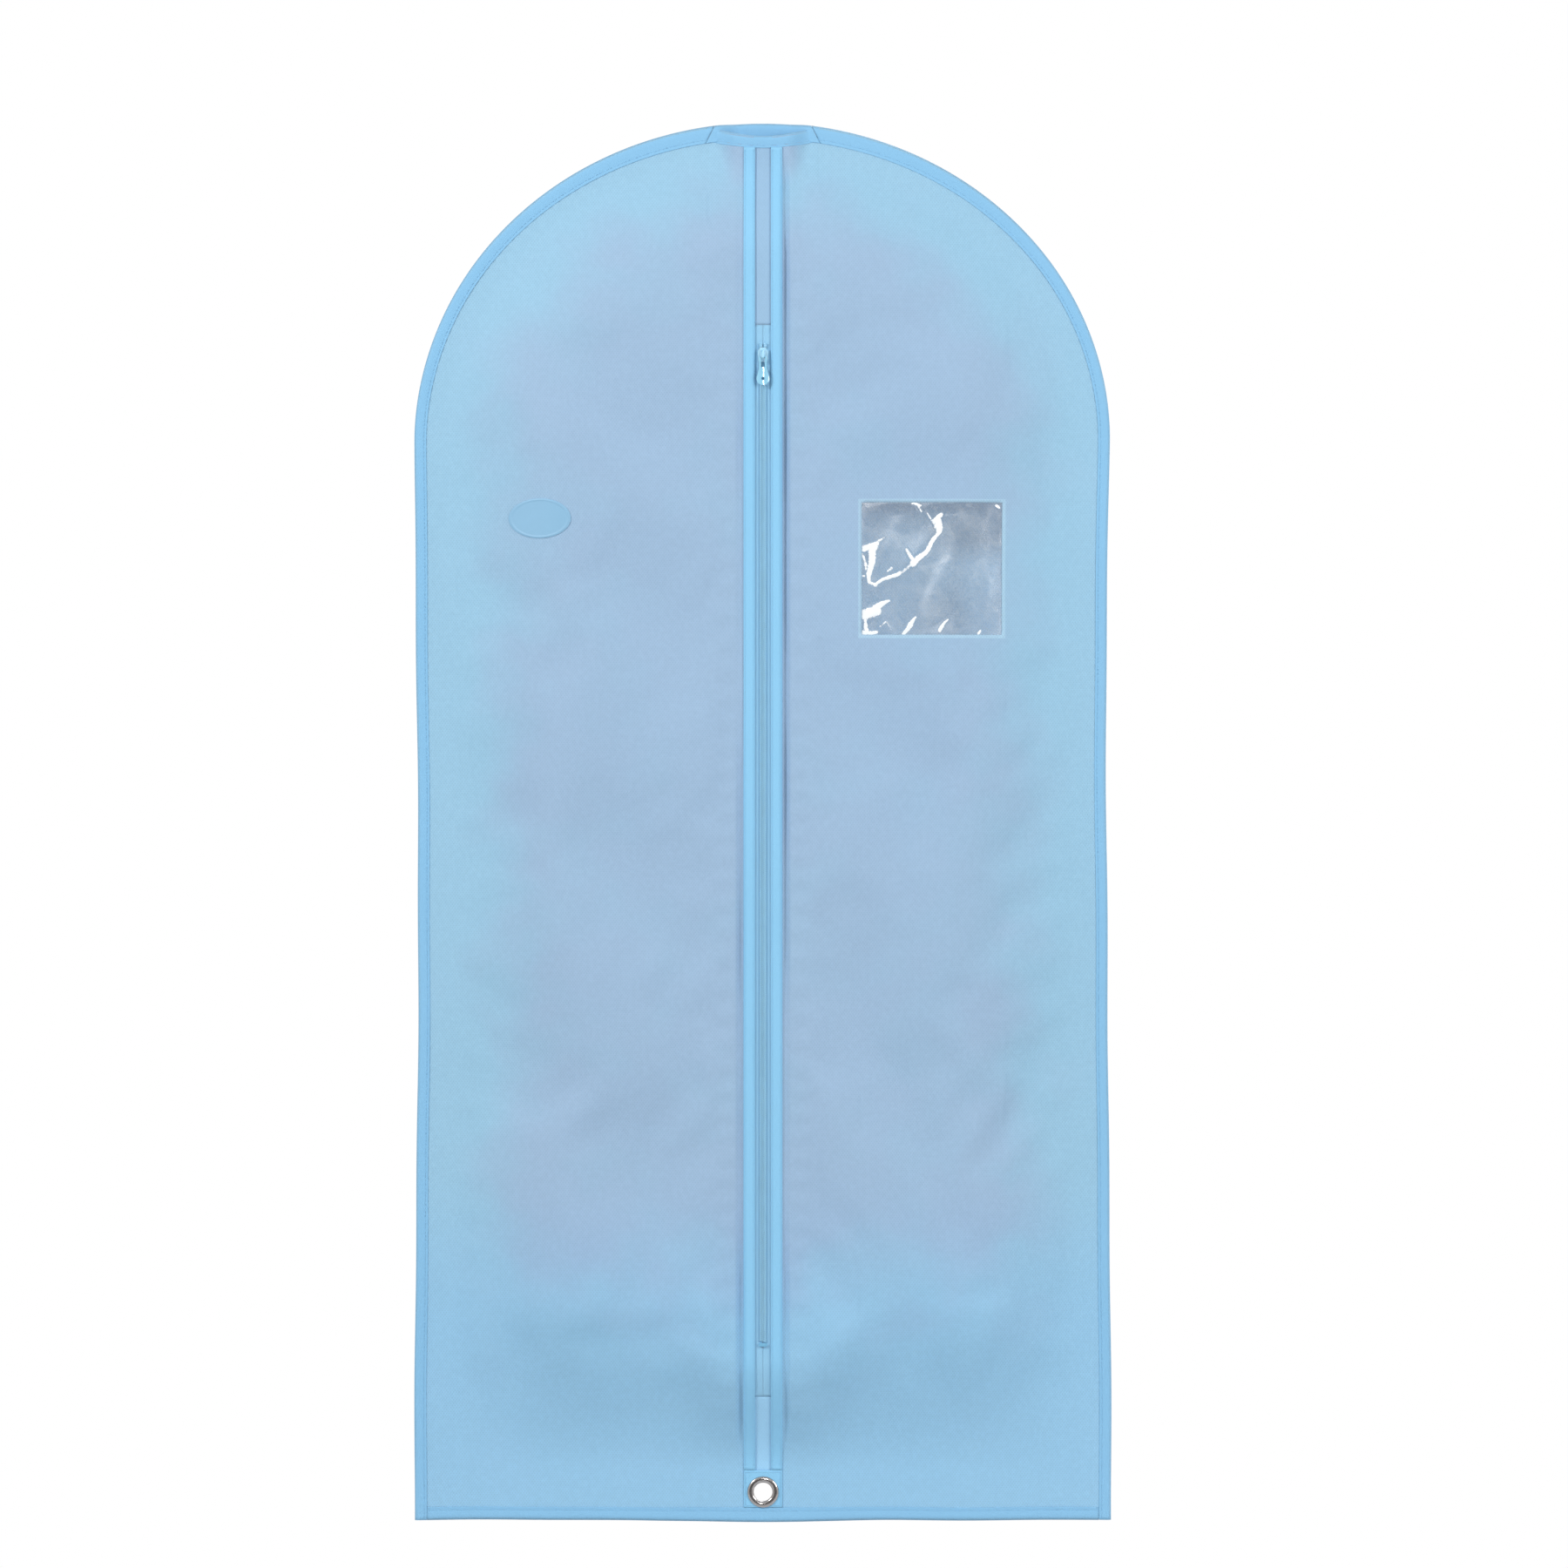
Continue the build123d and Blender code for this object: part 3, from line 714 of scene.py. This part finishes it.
def with_weld(stops, low, high):
    """Adds a window's two edges and the edges of its welded border to a list of stops."""
    inner = [low - weld_outer, low - weld_inner, low, high, high + weld_inner, high + weld_outer]
    return [stops[0], *inner, stops[1]]


def front_columns(side):
    """Columns of a front panel, closer together beside the placket."""
    near = spaced(panel_inner, 52 * mm, 1.3 * mm)[:-1]
    stops = [52 * mm, half_width - 16 * mm]
    if side > 0:
        stops = with_weld(stops, window_low[0], window_high[0])
    wide = [spaced(a, b, 3.4 * mm)[:-1] for a, b in zip(stops[:-1], stops[1:])]
    rim = spaced(stops[-1], half_width - inset, 2.2 * mm)
    return side * np.concatenate([near, *wide, rim])


def beyond_window(x, z):
    """How far a point is outside the window's edge, negative inside it."""
    out_x = np.maximum(window_low[0] - x, x - window_high[0])
    out_z = np.maximum(window_low[1] - z, z - window_high[1])
    return np.maximum(out_x, out_z)


def front_panel(side):
    levels = [-height + inset, spring_z]
    if side > 0:
        levels = with_weld(levels, window_low[1], window_high[1])
    x, z = panel_grid(front_columns(side), front_top, 3.6 * mm, levels)
    if side < 0:
        x, z = x[:, ::-1], z[:, ::-1]
    keep = without_eyelet(x, z) & (beyond_window(*cells(x, z)) > 0)
    name = "front_left_cloth" if side < 0 else "front_right_cloth"
    node = "front_panel_left" if side < 0 else "front_panel_right"
    # Share of painted shade: over the bulge, fading towards the hem, and under the neck.
    painted_hollow_shade = np.maximum(fill(x, z) * smooth((z + 1080 * mm) / (170 * mm)), neck_lift(x, z))
    # Where the cloth is painted darker and bluer towards the hem, as shade.
    flat = smooth((-z - 880 * mm) / (160 * mm))
    marks = {"painted_hollow_shade": painted_hollow_shade, "flat": flat, "weld": beyond_window(x, z) < window_weld}
    panel = add_sheet(name, x, front_y(x, z) + panel_level, z, panel_cloth, keep=keep, marks=marks)
    hang(panel, side)
    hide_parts(node)
    return panel


def back_top(x):
    return arch_z(x, half_width - 0.8 * mm, arch_height - inset)


def back_panel():
    columns = spaced(-half_width + inset, half_width - inset, 5 * mm)
    x, z = panel_grid(columns, back_top, 5 * mm, [-height + inset, spring_z])
    panel = add_sheet("back_cloth", x, back_y(x, z) + back_level, z, back_cloth, keep=without_eyelet(x, z))
    hang(panel, 0)
    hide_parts("back_panel")
    return panel


# Binding --------------------------------------------------


def arc_points(start_x, wide, tall, count):
    """Points of the arch from start_x on the right down to its spring."""
    start = np.arccos(start_x / wide)
    turn = np.linspace(start, 0, count)
    return wide * np.cos(turn), -arch_height + tall * np.sin(turn)


def side_edges(side):
    """Outer and inner edge of a side binding, from the opening to the hem."""
    count = 170
    legs = spaced(-arch_height, -height, 3.2 * mm)[1:]
    edges = []
    for start, wide, tall in (
        (neck_half + 0.4 * mm, half_width, arch_height),
        (neck_half + neck_slant + 0.4 * mm, half_width - side_binding, arch_height - crown_binding),
    ):
        x, z = arc_points(start, wide, tall, count)
        edges.append((side * np.concatenate([x, np.full_like(legs, wide)]), np.concatenate([z, legs])))
    return edges


def between(edges, share):
    outer, inner = edges
    return outer[0] * (1 - share) + inner[0] * share, outer[1] * (1 - share) + inner[1] * share


def side_bindings():
    made = []
    for side, word in ((-1, "left"), (1, "right")):
        edges = side_edges(side)
        tape = add_bound_edge(f"side_tape_{word}", *edges, rim_y, binding_cloth)
        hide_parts(f"side_binding_{word}")
        made.append(tape)
        for face, outward in both_faces:
            name = f"stitch_side_{word}_{face}"
            made.append(sewn(name, *between(edges, stitch_line), rim_y, outward * stitch_rise, outward))
    return made


def hem_tape():
    reach = half_width - side_binding - 0.2 * mm
    x = spaced(-reach, reach, 3 * mm)
    edges = [(x, np.full_like(x, -height)), (x, np.full_like(x, hem_binding - height))]
    tape = add_bound_edge("hem_tape", *edges, rim_y, binding_cloth)
    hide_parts("hem_binding")
    made = [tape]
    for face, outward in both_faces:
        name = f"stitch_hem_{face}"
        made.append(sewn(name, *between(edges, stitch_line), rim_y, outward * stitch_rise, outward))
    return made


def neck_front_y(x, z):
    return front_y(x, z) + 0.25 * mm


def neck_back_y(x, z):
    return back_y(x, z) - 0.1 * mm


def neck_tapes():
    """Bindings of the opening: the front one follows the dipped edge, the back one the crown."""
    share = np.linspace(-1, 1, 70)
    half = neck_half - neck_gap
    top_x, foot_x = share * half, share * (half + neck_slant)
    front_edges = [
        (top_x, neck_z(top_x, half)),
        (foot_x, neck_z(foot_x, half + neck_slant) - neck_binding),
    ]
    top_x, foot_x = share * neck_half, share * (neck_half + neck_slant)
    back_edges = [
        (top_x, arch_z(top_x)),
        (foot_x, arch_z(foot_x, half_width - side_binding, arch_height - crown_binding)),
    ]
    made = []
    for word, edges, base_y, outward in (
        ("front", front_edges, neck_front_y, -1),
        ("back", back_edges, neck_back_y, 1),
    ):
        tape = add_bound_edge(f"neck_tape_{word}", *edges, base_y, binding_cloth)
        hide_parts(f"neck_binding_{word}")
        line = between(edges, stitch_line)
        made += [tape, sewn(f"stitch_neck_{word}", *line, base_y, outward * stitch_rise, outward, 3 * mm)]
    return made


# Placket and zip ------------------------------------------


def below_neck(margin):
    """Height of the lower edge of the front neck binding on the centre line, less a margin."""
    return neck_dip_z - neck_binding - margin


def placket():
    made = []
    rows = spaced(patch_top + 0.1 * mm, below_neck(-0.8 * mm), 2.6 * mm)
    for side, word in ((-1, "left"), (1, "right")):
        facing = add_strip(f"facing_{word}", side * facing_inner, side * placket_half, rows, cover_level,
                           facing_cloth, 0.7 * mm)
        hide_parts(f"placket_facing_{word}")
        made.append(facing)
        for where, x in (("inner", facing_inner + 1.4 * mm), ("outer", placket_half - 1.4 * mm)):
            name = f"stitch_facing_{word}_{where}"
            made.append(sewn(name, side * x, rows, front_y, cover_level - 0.48 * mm))
    return made


def inserts():
    upper = add_strip("insert_top", -tape_outer, tape_outer,
                      spaced(tape_top + 0.2 * mm, below_neck(-6 * mm), 2.6 * mm), tape_level, shaded_insert_cloth,
                      cloth)
    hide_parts("placket_insert_upper")
    lower = add_strip("insert_foot", -tape_outer, tape_outer,
                      spaced(-height + 1 * mm, tape_bottom - 0.2 * mm, 1.2 * mm), tape_level,
                      lit_insert_foot_cloth, cloth, keep_hole=True)
    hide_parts("placket_insert_lower")
    return [upper, lower]


def eyelet_square():
    """The doubled square behind the eyelet, with a row of stitches round it."""
    low, high = hem_binding - height + 0.2 * mm, patch_top
    rows = spaced(low, high, 1.0 * mm)
    patch = add_strip("eyelet_square", -placket_half, placket_half, rows, cover_level, facing_cloth, 0.6 * mm,
                      keep_hole=True)
    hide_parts("eyelet_patch")
    edge, up, down = placket_half - 1.5 * mm, high - 1.5 * mm, low + 1.5 * mm
    corners = np.array([(-edge, down), (-edge, up), (edge, up), (edge, down), (-edge, down)])
    run = np.linspace(0, 4, 121)
    x, z = (np.interp(run, np.arange(5), corners[:, i]) for i in (0, 1))
    return [patch, sewn("stitch_eyelet_square", x, z, front_y, cover_level - 0.5 * mm, pitch=3 * mm)]


def zip_tapes():
    rows = spaced(tape_bottom, tape_top, 2.6 * mm)
    beyond_chain = (rows > coil_top + 0.5 * mm) | (rows < coil_bottom - 5 * mm)
    edge = np.where(beyond_chain, 0.03 * mm, 0.3 * mm)
    made = []
    for side, word in ((-1, "left"), (1, "right")):
        tape = add_strip(f"tape_{word}", side * edge, side * tape_outer, rows, tape_level, tape_weave, cloth)
        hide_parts(f"zip_tape_{word}")
        made.append(tape)
    return made


def zip_coils():
    """Each half of the chain is one nylon filament, wound into flattened loops that mesh with the other's."""
    filament, pitch, per_loop, sides = 0.31 * mm, 1.27 * mm, 10, 5
    head = -0.35 * mm
    half_turns = (coil_outer - head) / 2 - filament
    half_deep = (coil_back - coil_front) / 2 - filament
    loops = int((coil_top - coil_bottom) / pitch)
    turn = np.arange(loops * per_loop + 1) * 2 * pi / per_loop
    made = []
    for side, word in ((-1, "left"), (1, "right")):
        middle = side * (head + coil_outer) / 2
        shift = 0.0 if side > 0 else pitch / 2
        square = 1 / (np.abs(np.cos(turn)) ** 3 + np.abs(np.sin(turn)) ** 3) ** (1 / 3)
        centre = np.stack([
            middle + side * half_turns * np.cos(turn) * square,
            (coil_front + coil_back) / 2 + half_deep * np.sin(turn) * square,
            coil_bottom + filament + shift + pitch * turn / (2 * pi),
        ], axis=-1)
        centre[:, 2] = np.minimum(centre[:, 2], coil_top - filament)
        run = np.gradient(centre, axis=0)
        run /= np.linalg.norm(run, axis=1, keepdims=True)
        away = np.cross(run, [0, 0, 1.0])
        away /= np.linalg.norm(away, axis=1, keepdims=True)
        up = np.cross(away, run)
        angle = np.arange(sides) * 2 * pi / sides
        around = away[:, None] * np.cos(angle)[None, :, None] + up[:, None] * np.sin(angle)[None, :, None]
        points = (centre[:, None] + filament * around).reshape(-1, 3)
        coil = add_object(f"coil_{word}", points, grid_faces(len(centre), sides, wrap=True), coil_nylon)
        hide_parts(f"zip_coil_{word}")
        made += [coil, sewn(f"stitch_coil_{word}", side * (coil_outer + 0.45 * mm),
                            spaced(coil_bottom, coil_top, 4 * mm), front_y, tape_level - 0.42 * mm,
                            pitch=2.54 * mm, slot="zip_tape")]
    return made


# Window and label -----------------------------------------


# Sharp creases of the film: two ends in shares of the window's width and height, with the half width there,
# and how strong the crease is, which sets its depth and its painted white highlight
creases = (
    ((0.09, 0.37, 0.013), (0.26, 0.47, 0.018), 1.0),
    ((0.26, 0.47, 0.016), (0.37, 0.53, 0.016), 0.62),
    ((0.37, 0.53, 0.030), (0.45, 0.63, 0.020), 1.0),
    ((0.45, 0.63, 0.018), (0.545, 0.77, 0.018), 1.0),
    ((0.545, 0.77, 0.020), (0.54, 0.86, 0.036), 1.0),
    ((0.515, 0.87, 0.016), (0.565, 0.90, 0.022), 1.0),
    ((0.47, 0.93, 0.008), (0.52, 0.82, 0.018), 0.65),
    ((0.31, 0.645, 0.009), (0.345, 0.59, 0.014), 0.75),
    ((0.345, 0.59, 0.013), (0.385, 0.545, 0.018), 0.9),
    ((0.02, 0.66, 0.030), (0.10, 0.68, 0.026), 1.0),
    ((0.10, 0.69, 0.018), (0.155, 0.73, 0.008), 0.65),
    ((0.09, 0.66, 0.034), (0.06, 0.53, 0.030), 1.0),
    ((0.06, 0.53, 0.026), (0.055, 0.40, 0.015), 1.0),
    ((0.055, 0.40, 0.013), (0.10, 0.37, 0.014), 0.9),
    ((0.00, 0.62, 0.014), (0.03, 0.50, 0.010), 0.7),
    ((0.00, 0.455, 0.014), (0.025, 0.45, 0.010), 0.8),
    ((0.175, 0.475, 0.008), (0.205, 0.51, 0.014), 0.7),
    ((0.00, 0.155, 0.042), (0.10, 0.18, 0.050), 1.0),
    ((0.10, 0.19, 0.042), (0.19, 0.255, 0.010), 1.0),
    ((0.00, 0.02, 0.024), (0.11, 0.012, 0.017), 1.0),
    ((0.02, 0.12, 0.010), (0.045, 0.03, 0.020), 0.85),
    ((0.13, 0.05, 0.009), (0.165, 0.095, 0.009), 0.6),
    ((0.165, 0.095, 0.009), (0.205, 0.04, 0.008), 0.55),
    ((0.30, 0.015, 0.018), (0.34, 0.07, 0.024), 1.0),
    ((0.34, 0.07, 0.022), (0.39, 0.125, 0.008), 0.95),
    ((0.55, 0.03, 0.016), (0.575, 0.06, 0.018), 0.95),
    ((0.575, 0.06, 0.016), (0.615, 0.105, 0.008), 0.9),
    ((0.84, 0.005, 0.013), (0.85, 0.02, 0.009), 1.0),
    ((0.365, 0.985, 0.013), (0.42, 0.975, 0.011), 0.9),
    ((0.40, 0.975, 0.011), (0.43, 0.93, 0.008), 0.8),
    ((0.965, 0.985, 0.013), (0.985, 0.97, 0.010), 1.0),
)


def window_share(x, z):
    """A point's place in the window, in shares of its width and height."""
    u = (x - window_low[0]) / (window_high[0] - window_low[0])
    v = (z - window_low[1]) / (window_high[1] - window_low[1])
    return u, v


def creased(u, v):
    """How sharply the film is creased at a place in the window, from 0 to 1."""
    u, v = u + 0.008 * np.sin(31 * v + 9 * u), v + 0.008 * np.sin(27 * u + 1)
    sharp = np.zeros_like(u)
    for (u0, v0, wide0), (u1, v1, wide1), white in creases:
        run_u, run_v = u1 - u0, v1 - v0
        along = np.clip(((u - u0) * run_u + (v - v0) * run_v) / (run_u**2 + run_v**2), 0, 1)
        away = np.hypot(u - u0 - along * run_u, v - v0 - along * run_v)
        sharp = np.maximum(sharp, white * smooth(1.35 - away / (wide0 + (wide1 - wide0) * along)))
    return sharp


def window():
    x, z = np.meshgrid(*(spaced(film_low[axis], film_high[axis], 0.85 * mm) for axis in (0, 2)))
    u, v = window_share(x, z)
    inside = smooth(-beyond_window(x, z) / (12 * mm))
    slack = np.sin(5 * u + 1) * np.sin(4 * v + 0.5) + 0.6 * np.sin(11 * u - 7 * v + 2)
    sharp = creased(u, v)
    y = front_y(x, z) + tape_level + (0.8 * slack - 0.7 * sharp) * mm * inside
    # Where the painted white highlight of the creases goes.
    marks = {"crease": sharp * (beyond_window(x, z) < 0)}
    film = add_sheet("film", x, y, z, vinyl, 0.2 * mm, marks=marks)
    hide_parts("window_film")
    return film


def label():
    """A blank oval patch with a raised rim."""
    width, tall = label_high[0] - label_low[0], label_high[2] - label_low[2]
    centre = (label_low[0] + width / 2, label_low[2] + tall / 2)
    rings = np.concatenate([spaced(0.1, 0.84, 0.08), [0.87, 0.9, 0.93, 0.96, 0.985, 1.0, 1.0]])
    x = centre[0] + rings[:, None] * width / 2 * np.cos(full_turn)[None]
    z = centre[1] + rings[:, None] * tall / 2 * np.sin(full_turn)[None]
    rise = 0.5 * mm + 0.35 * mm * hump((rings - 0.93) / 0.06)
    rise[-1] = 0
    x, y, z = settle(x, front_y(x, z) + panel_level - cloth / 2 - rise[:, None], z)
    points = np.stack([x, y, z], axis=-1).reshape(-1, 3)
    across = [(k, k + 1, ring - 2 - k, ring - 1 - k) for k in range(ring // 2 - 1)]
    faces = np.concatenate([across, grid_faces(len(rings), ring, wrap=True)[:, ::-1]])
    patch = add_object("label_patch", points, faces, label_rubber)
    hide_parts("blank_label")
    return patch


# Hardware -------------------------------------------------


def eyelet():
    """The eyelet's front half: a domed rim, and a barrel whose end is rolled out at the back."""
    turn = np.linspace(pi, 0, 15)
    middle, half = (eyelet_bore + eyelet_rim) / 2, (eyelet_rim - eyelet_bore) / 2
    plate = eyelet_front + 0.7 * mm
    dome = np.stack([middle + half * np.cos(turn), plate - 1.7 * mm * np.sin(turn) ** 0.8], axis=-1)
    roll = np.linspace(0, pi, 9)
    barrel_outer, curl_middle, curl_half, curl_deep = 8.65 * mm, 9.1 * mm, 1.1 * mm, 0.6 * mm
    rolled = eyelet_back - curl_deep
    curl = np.stack([curl_middle + curl_half * np.cos(roll), rolled + curl_deep * np.sin(roll)], axis=-1)
    section = np.concatenate([dome, [(barrel_outer, plate), (barrel_outer, rolled)], curl])
    radius, y = section[:, :1], section[:, 1:]
    x, z = radius * np.cos(full_turn), eyelet_z + radius * np.sin(full_turn)
    points = np.stack([x, y + 0 * full_turn, z], axis=-1)
    count = len(section)
    faces = grid_faces(count + 1, ring, wrap=True) % (count * ring)
    barrel = add_object("eyelet_front", points.reshape(-1, 3), faces, eyelet_metal)
    split = barrel.modifiers.new("sharp edges", "EDGE_SPLIT")
    split.split_angle = radians(50)
    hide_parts("eyelet_barrel")


def finish_hardware():
    finishes = {
        "slider_body": (slider_paint, 0.35),
        "slider_crown": (slider_paint, 0.3),
        "pull_tab": (slider_paint, 0.4),
        "zip_top_stops": (stop_paint_and_shade, 0.3),
        "zip_bottom_stop": (stop_paint_and_shade, 0.35),
        "eyelet_washer": (eyelet_metal, 0.15),
    }
    for node, (material, rounding) in finishes.items():
        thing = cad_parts[node]
        thing.data.materials.clear()
        thing.data.materials.append(material)
        edges = thing.modifiers.new("rounded edges", "BEVEL")
        edges.width = rounding * mm
        edges.segments = 3
        edges.limit_method = "ANGLE"
        edges.angle_limit = radians(35)
        edges.harden_normals = True


left_panel, right_panel, back = front_panel(-1), front_panel(1), back_panel()
tapes = side_bindings() + hem_tape() + neck_tapes()
front_strips = placket() + inserts() + eyelet_square()
zips = zip_tapes() + zip_coils()
film, patch = window(), label()
eyelet()
finish_hardware()


# Stage ----------------------------------------------------


def add_area_light(name, at, aim, size, power, color=(1, 1, 1)):
    light = bpy.data.lights.new(name, "AREA")
    light.size = size
    light.energy = power
    light.color = color
    lamp = bpy.data.objects.new(name, light)
    lamp.location = at
    lamp.rotation_euler = (Vector(aim) - Vector(at)).to_track_quat("-Z", "Y").to_euler()
    bpy.context.scene.collection.objects.link(lamp)


def set_stage():
    middle = -height / 2
    add_area_light("key", (-2.6, -2.3, 1.2), (0, 0, middle), 0.7, 70)
    add_area_light("fill", (2.5, -2.2, 0.2), (0, 0, middle), 1.2, 44)
    add_area_light("front", (0.35, -4.6, 0.05), (0, 0, middle), 0.35, 16)
    add_area_light("back", (0.9, 2.6, 0.5), (0, 0, middle), 2.0, 52)

    # Soft white all round, a little darker from straight in front, and plain white to the camera
    world = bpy.data.worlds.new("studio")
    world.use_nodes = True
    soft = world.node_tree.nodes["Background"]
    soft.inputs["Strength"].default_value = 0.62
    n = Nodes(world, soft)
    around = n.add("ShaderNodeSeparateXYZ", Vector=n.add("ShaderNodeTexCoord").outputs["Generated"])
    n.put(soft.inputs["Color"], n.ramp(around.outputs["Y"], -0.97, -0.8, 0.2, 1.0))
    white = n.add("ShaderNodeBackground", Color=(1, 1, 1, 1))
    seen = n.add("ShaderNodeLightPath").outputs["Is Camera Ray"]
    mix = n.add("ShaderNodeMixShader")
    for socket, value in zip(mix.inputs, (seen, soft.outputs[0], white.outputs[0])):
        n.put(socket, value)
    n.put(world.node_tree.nodes["World Output"].inputs["Surface"], mix.outputs[0])
    bpy.context.scene.world = world

    floor_z = -height - 130 * mm
    turn, reach = np.meshgrid(full_turn, [0.001, 0.35, 0.7])
    points = np.stack([reach * np.cos(turn), reach * np.sin(turn), np.full_like(turn, floor_z)], axis=-1)
    mesh = bpy.data.meshes.new("floor")
    mesh.from_pydata(points.reshape(-1, 3).tolist(), [], grid_faces(3, ring, wrap=True).tolist())
    mesh.materials.append(floor_finish("pale_floor"))
    floor = bpy.data.objects.new("floor", mesh)
    bpy.context.scene.collection.objects.link(floor)

    lens = bpy.data.cameras.new("camera")
    camera = bpy.data.objects.new("camera", lens)
    distance, seen_width = 6.0, 1.347
    lens.sensor_width = 36
    lens.lens = 36 * distance / seen_width
    lens.clip_end = 50
    camera.location = (18 * mm, -distance, -568 * mm)
    camera.rotation_euler = (radians(90), 0, 0)
    bpy.context.scene.collection.objects.link(camera)
    bpy.context.scene.camera = camera
    bpy.context.scene.view_settings.view_transform = "Standard"


set_stage()
